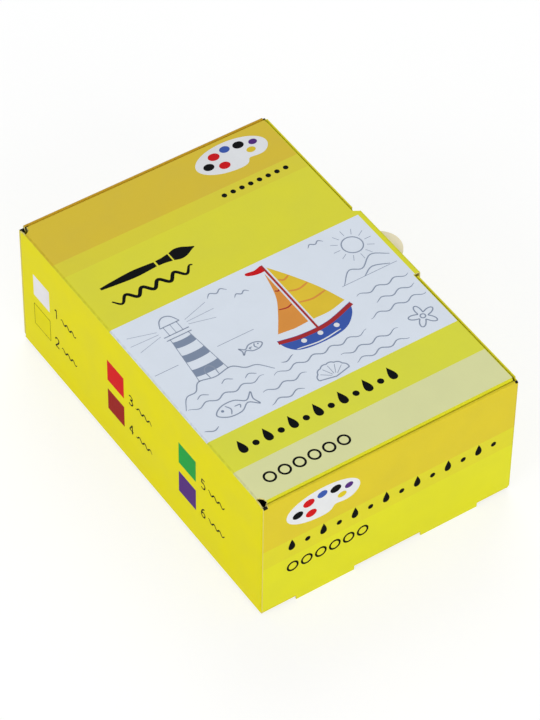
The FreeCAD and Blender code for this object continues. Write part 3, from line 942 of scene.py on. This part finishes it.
def seaMarks():
    # horizon, hills, waves, gulls and a rayed sun
    level = sea["level"]
    marks = [line(straight((start, level), (end, level)), taper=0.6) for start, end in sea["horizon"]]
    marks.append(line(curve([(20.5, -6.5), (24.5, -2.6), (28, -3.8), (32.5, -0.8), (36.9, -3.2)])))
    marks.append(line(curve([(27, -6.4), (30.5, -4.6), (35, -6.2)])))
    for start, end, middle, phase in sea["waves"]:
        marks.append(line(wave(start, end, middle, sea["waveHeight"], sea["waveLength"], phase), taper=0.7))
    wings = curve([(-3, -0.3), (-1.6, 0.9), (0, 0), (1.6, 0.9), (3, -0.3)])
    marks += [line(wings * size + (x, y), taper=0.8) for x, y, size in sea["gulls"]]
    marks.append(ring("line", *sea["sun"], sea["sunRadius"], pen))
    for turn in np.radians(np.arange(0, 360, 30)):
        reach = sea["sunRadius"] + np.array(sea["rays"])[:, None]
        marks.append(line(reach * (math.cos(turn), math.sin(turn)) + sea["sun"], taper=0.6))
    return marks


def fishMarks(x, y, size, way):
    # fish: closed outline, eye, gill and fin
    scale = (way * size, size)
    body = curve([(-5, 0), (-2.6, 2.0), (1.2, 2.1), (4, 0.4), (6.4, 2.3), (5.8, 0), (6.4, -2.3), (4, -0.4),
                  (1.2, -2.1), (-2.6, -2.0)], True)
    gill = curve([(-1.6, 1.6), (-0.8, 0), (-1.6, -1.6)])
    fin = curve([(0.4, 0.3), (1.9, 0.1), (1.5, -0.9)])
    eye = disc(x - way * 3 * size, y + 0.5 * size, 0.42 * size, 14)
    return [line(np.concatenate([body, body[:1]]) * scale + (x, y), taper=0), line(gill * scale + (x, y)),
            line(fin * scale + (x, y)), area("shade", eye)]


shore = dict(star=(31.2, -26.2), starSize=3.9, starWaist=0.32, starEye=0.7, shell=(1.0, -31.2),
             shellSize=4.6, shellWave=0.28, shellFoot=-0.2, ribs=(37, 63, 90, 117, 143), ribReach=(1.0, 4.0))


def shoreMarks():
    # starfish, and a fan shell with its ribs
    turn = np.radians(np.linspace(0, 360, 91))
    reach = shore["starSize"] * (1 - shore["starWaist"] * (1 - np.cos(5 * turn)))
    star = np.stack([reach * np.sin(turn), reach * np.cos(turn)], -1) + shore["star"]
    marks = [line(star, taper=0), ring("line", *shore["star"], shore["starEye"], pen)]
    fan = np.radians(np.linspace(10, 170, 61))
    edge = shore["shellSize"] + shore["shellWave"] * np.abs(np.sin(np.linspace(0, 6 * np.pi, 61)))
    foot = [(0, shore["shellFoot"])]
    shell = np.concatenate([foot, np.stack([edge * np.cos(fan), edge * np.sin(fan)], -1), foot])
    marks.append(line(shell + shore["shell"], taper=0))
    for turn in np.radians(shore["ribs"]):
        rib = np.array(shore["ribReach"])[:, None] * (math.cos(turn), math.sin(turn))
        marks.append(line(rib + shore["shell"], finePen))
    return marks


numerals = {
    1: [straight((0.08, 0.76), (0.34, 1.0)), straight((0.34, 1.0), (0.34, 0.0))],
    2: [curve([(0.02, 0.74), (0.12, 0.95), (0.3, 1.0), (0.48, 0.93), (0.53, 0.74), (0.4, 0.46), (0.02, 0.0)]),
        straight((0.02, 0.0), (0.56, 0.0))],
    3: [curve([(0.04, 0.9), (0.26, 1.0), (0.48, 0.88), (0.46, 0.66), (0.2, 0.54)]),
        curve([(0.2, 0.54), (0.5, 0.44), (0.54, 0.2), (0.3, 0.0), (0.03, 0.1)])],
    4: [straight((0.42, 0.0), (0.42, 1.0)), straight((0.42, 1.0), (0.02, 0.3)),
        straight((0.02, 0.3), (0.58, 0.3))],
    5: [straight((0.5, 1.0), (0.12, 1.0)), straight((0.12, 1.0), (0.08, 0.56)),
        curve([(0.08, 0.56), (0.3, 0.63), (0.52, 0.48), (0.52, 0.18), (0.3, 0.0), (0.04, 0.08)])],
    6: [curve([(0.46, 0.97), (0.2, 0.76), (0.06, 0.4), (0.1, 0.12), (0.3, 0.0), (0.5, 0.12), (0.52, 0.36),
               (0.32, 0.52), (0.08, 0.36)])],
}
swatches = dict(width=7.95, height=7.57, starts=(-51.05, -14.57, 19.28), tops=(29.5, 18.65), labelGap=2.4,
                labelRise=0.6, numeral=3.3, numeralPen=0.46, trial=7.5, trialRise=0.42, trialPen=0.5,
                borderPen=0.14, inks=("swatchWhite", "sideYellow", "red", "brown", "green", "violet"))


def swatchMarks():
    # six colour squares in three pairs, each with its number and a trial stroke
    marks = []
    size = swatches["numeral"]
    for index, ink in enumerate(swatches["inks"]):
        left, top = swatches["starts"][index // 2], swatches["tops"][index % 2]
        right, low = left + swatches["width"], top - swatches["height"]
        square = straight((left, low), (right, low), (right, top), (left, top))
        marks.append(area(ink, square))
        if ink == "sideYellow":  # the colour of the wall, so it needs a border
            for first, second in zip(square, np.roll(square, -1, 0)):
                marks.append(stroke("dark", straight(first, second), swatches["borderPen"], 2, 0))
        x, y = right + swatches["labelGap"], low + swatches["labelRise"]
        for path in numerals[index + 1]:
            marks.append(stroke("dark", path * size + (x, y), swatches["numeralPen"], 1, 0.1))
        trial = wave(x + size, x + size + swatches["trial"], y + size * swatches["trialRise"], 0.55, 2.5)
        marks.append(stroke("dark", trial, swatches["trialPen"], 1, 0.6))
    return marks


def endMarks():
    return (paletteMarks(-20.6, 32.6, "endOrange") + dropRow(-29.8, 32.0, 22.0, 4.0, 14)
            + ringRow(-29.4, -8.2, 13.5, 1.5))


lidMarks = (paletteMarks(22.75, 49.6, "lidOrange") + brushMarks(-32.6, -4.0, 26.6, 3.9)
            + [stroke("dark", wave(-32.5, -8.0, 20.4, 1.15, 4.9), 1.05, 1, 0.6)]
            + [area("dark", disc(x, 37.95, 0.75)) for x in np.linspace(12.8, 32.2, 8)]
            + dropRow(-32.0, 13.0, -38.0, 4.6, 13) + ringRow(-31.6, -9.6, -50.0, 1.5)
            + lighthouseMarks(-24.5, -14.2, 1.9) + boatMarks(6.5, -14.2, 11.2) + seaMarks()
            + fishMarks(-26.5, -26.2, 1.0, 1) + fishMarks(-11.0, -11.5, 0.55, -1) + shoreMarks())
makePrint("lid_picture", lidMarks, onLid, "lid")
makePrint("left_swatches", swatchMarks(), onLeft, "tray")
makePrint("near_end_marks", endMarks(), onNear, "tray")
makePrint("far_end_marks", endMarks(), onFar, "tray")
print("print ready:", len(lidMarks), "marks on the lid")

# pots, caps and paint
capShape = dict(ribs=48, ribDepth=0.4, ribShare=0.55, columnsPerRib=6, rounding=1.1, recess=0.4, border=3.5,
                wall=0.9, top=1.6, lip=0.35, gate=1.3, gateRise=0.16)


def makeCap(colour):
    # profile from the gate mark on top, over the rim, down the skirt and back inside; ribs cut the skirt
    low, high = nodeBox(f"cap_{colour}")
    middle = (low + high) / 2
    radius = (high[0] - low[0]) / 2
    top, bottom, rounding = high[2], low[2], capShape["rounding"]
    lip, gate, rise = capShape["lip"], capShape["gate"], capShape["gateRise"]
    floor = top - capShape["recess"]
    ridge = radius - capShape["border"]
    inner = radius - capShape["wall"]
    ceiling = top - capShape["top"]
    shoulder = arc(radius - rounding, top - rounding, rounding, rounding, 90, 0, 9)
    dip = curve([(ridge - 1.0, floor), (ridge - 0.55, floor + 0.1), (ridge - 0.2, top - 0.08),
                 (ridge + 0.3, top)])
    mark = curve([(0.15, floor + rise), (0.7, floor + rise * 0.9), (gate, floor), (gate + 0.6, floor)])
    skirt = straight((radius, top - 3), (radius, bottom + 1.4), (radius, bottom + lip),
                     (radius - 0.3, bottom), (inner + 0.1, bottom), (inner, bottom + 0.1))
    inside = [(inner, ceiling), (0, ceiling)]
    profile = np.concatenate([[(0, floor + rise)], mark, dip, shoulder, skirt, inside])

    def ribs(rows, angle):
        # grooves with rounded lands between them, fading out at the rounding and the lower lip
        spread = np.abs(np.sin(angle * capShape["ribs"] / 2))
        groove = capShape["ribDepth"] * (1 - np.clip(spread / capShape["ribShare"], 0, 1)) ** 1.5
        onSkirt = (rows[:, :1] > radius - rounding * 0.3) & (rows[:, 1:] > bottom + lip + 0.2)
        fade = np.clip((top - rounding * 0.35 - rows[:, 1:]) / 0.5, 0, 1)
        return groove * onSkirt * fade

    columns = capShape["ribs"] * capShape["columnsPerRib"]
    shell = revolve(profile, columns, np.array([middle[0], middle[1], 0]), ribs)
    piece = makePiece(f"cap_{colour}_moulding", [(*shell, (0, 0, 0))], [capPlastic], [f"cap_{colour}"],
                      sharp=50)
    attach(piece, f"cap_{colour}")


def mouldedPlastic(name, color, rough, alpha=1.0):
    # smooth moulding with faint flow marks
    material, tree, shader = newMaterial(name)
    look = dict(fibre=1400.0, mottle=90.0, amount=0.02, rough=rough, bump=0.12, relief=0.04)
    ink = grainedLook(tree, shader, color, look)[0]
    setInputs(tree, shader, {"Base Color": ink, "Alpha": alpha, "IOR": 1.49})
    return material


def dressNode(name, material):
    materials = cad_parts[name].data.materials
    materials.clear()
    materials.append(material)


paintTones = dict(white=(236, 236, 230), yellow=(240, 205, 30), scarlet=(205, 40, 36), brown=(112, 62, 38),
                  green=(30, 130, 62), violet=(78, 42, 120))
foamLook = dict(bareLook, fibre=900.0, mottle=400.0, amount=0.05, rough=(0.8, 0.9), bump=0.9)
paintLook = dict(bareLook, fibre=260.0, mottle=60.0, amount=0.05, rough=(0.55, 0.65), bump=0.8, specular=0.3)
capPlastic = mouldedPlastic("cap_white_plastic", tone(238, 238, 234), (0.32, 0.42))
potPlastic = mouldedPlastic("pot_clear_plastic", tone(236, 240, 240), (0.18, 0.28), 0.15)
linerFoam = plainBoard("liner_foam", tone(240, 240, 236), foamLook)
for colour, rgb in paintTones.items():
    dressNode(f"pot_{colour}", potPlastic)
    dressNode(f"liner_{colour}", linerFoam)
    dressNode(f"paint_{colour}", plainBoard(f"gouache_{colour}", tone(*rgb), paintLook))
    makeCap(colour)
print("pots and caps ready")

# light, floor and camera
shot = dict(eye=(-366.42, -538.0, 719.86), azimuth=34.414, elevation=47.083, roll=0.9, focalPixels=3679.44,
            longSidePixels=720, sensor=36.0)
studio = dict(ambient=0.44, floorHalf=4.0, floorColor=0.85, floorSeen=0.35, floorLift=0.71,
              target=(0, 0, 0.02))
softboxes = [
    dict(name="near_softbox", place=(-0.25, -1.6, 0.55), size=1.3, watts=12.4, color=(1.0, 0.99, 0.96)),
    dict(name="left_softbox", place=(-1.6, -0.3, 0.55), size=1.3, watts=12.4, color=(1.0, 0.98, 0.94)),
    dict(name="back_softbox", place=(0.75, 1.1, 1.45), size=1.1, watts=10.4, color=(0.92, 0.97, 1.0)),
]
white = (1, 1, 1, 1)


def seenRays(tree):
    # 1 for camera, glossy and transmission rays, 0 for the rest
    path = addNode(tree, "LightPath").outputs
    seen = addMath(tree, "MAXIMUM", path["Is Camera Ray"], path["Is Glossy Ray"])
    return addMath(tree, "MAXIMUM", seen, path["Is Transmission Ray"])


def makeWorld():
    # the camera and reflections see white, everything else gets the plain ambient level
    world = bpy.data.worlds.new("studio_world")
    bpy.context.scene.world = world
    world.use_nodes = True
    tree = world.node_tree
    tree.nodes.clear()
    ambient = addNode(tree, "Background", {"Color": white, "Strength": studio["ambient"]})
    bright = addNode(tree, "Background", {"Color": white, "Strength": 1.0})
    mix = addNode(tree, "MixShader", {
        0: seenRays(tree), 1: ambient.outputs[0], 2: bright.outputs[0]})
    addNode(tree, "OutputWorld", {0: mix.outputs[0]})


def makeFloor():
    # the camera sees the floor lifted towards white, and other rays meet a plain pale floor
    material, tree, shader = newMaterial("studio_floor")
    seen = seenRays(tree)
    shade = addNode(tree, "MapRange", {
        "Value": seen, "To Min": studio["floorColor"], "To Max": studio["floorSeen"]})
    setInputs(tree, shader, {
        "Base Color": shade.outputs[0], "Roughness": 0.9, "Specular IOR Level": 0.1, "Emission Color": white,
        "Emission Strength": addMath(tree, "MULTIPLY", seen, studio["floorLift"])})
    corners = np.array([(-1, -1), (1, -1), (1, 1), (-1, 1)]) * studio["floorHalf"]
    mesh = bpy.data.meshes.new("studio_floor")
    mesh.from_pydata(grid(*corners.T, floorZ * mm).tolist(), [], [(0, 1, 2, 3)])
    mesh.materials.append(material)
    addObject("studio_floor", mesh)


def makeLights():
    target = Vector(studio["target"])
    for box in softboxes:
        light = bpy.data.lights.new(box["name"], "AREA")
        light.size = box["size"]
        light.energy = box["watts"]
        light.color = box["color"]
        lamp = addObject(box["name"], light)
        lamp.location = box["place"]
        lamp.rotation_euler = (target - lamp.location).to_track_quat("-Z", "Y").to_euler()


def makeCamera():
    # looks along azimuth and elevation, turned by the roll about its own axis
    around, down, roll = (math.radians(shot[key]) for key in ("azimuth", "elevation", "roll"))
    level = Vector((math.cos(around), -math.sin(around), 0))
    upright = Vector((math.sin(down) * math.sin(around), math.sin(down) * math.cos(around), math.cos(down)))
    right = level * math.cos(roll) + upright * math.sin(roll)
    up = upright * math.cos(roll) - level * math.sin(roll)
    turn = Matrix((right, up, right.cross(up))).transposed()
    data = bpy.data.cameras.new("photo_camera")
    data.sensor_width = shot["sensor"]
    data.lens = shot["focalPixels"] * shot["sensor"] / shot["longSidePixels"]
    camera = addObject("photo_camera", data)
    camera.matrix_world = Matrix.Translation(Vector(shot["eye"]) * mm) @ turn.to_4x4()
    bpy.context.scene.camera = camera


makeWorld()
makeFloor()
makeLights()
makeCamera()
bpy.context.scene.view_settings.view_transform = "Standard"
print("studio ready")
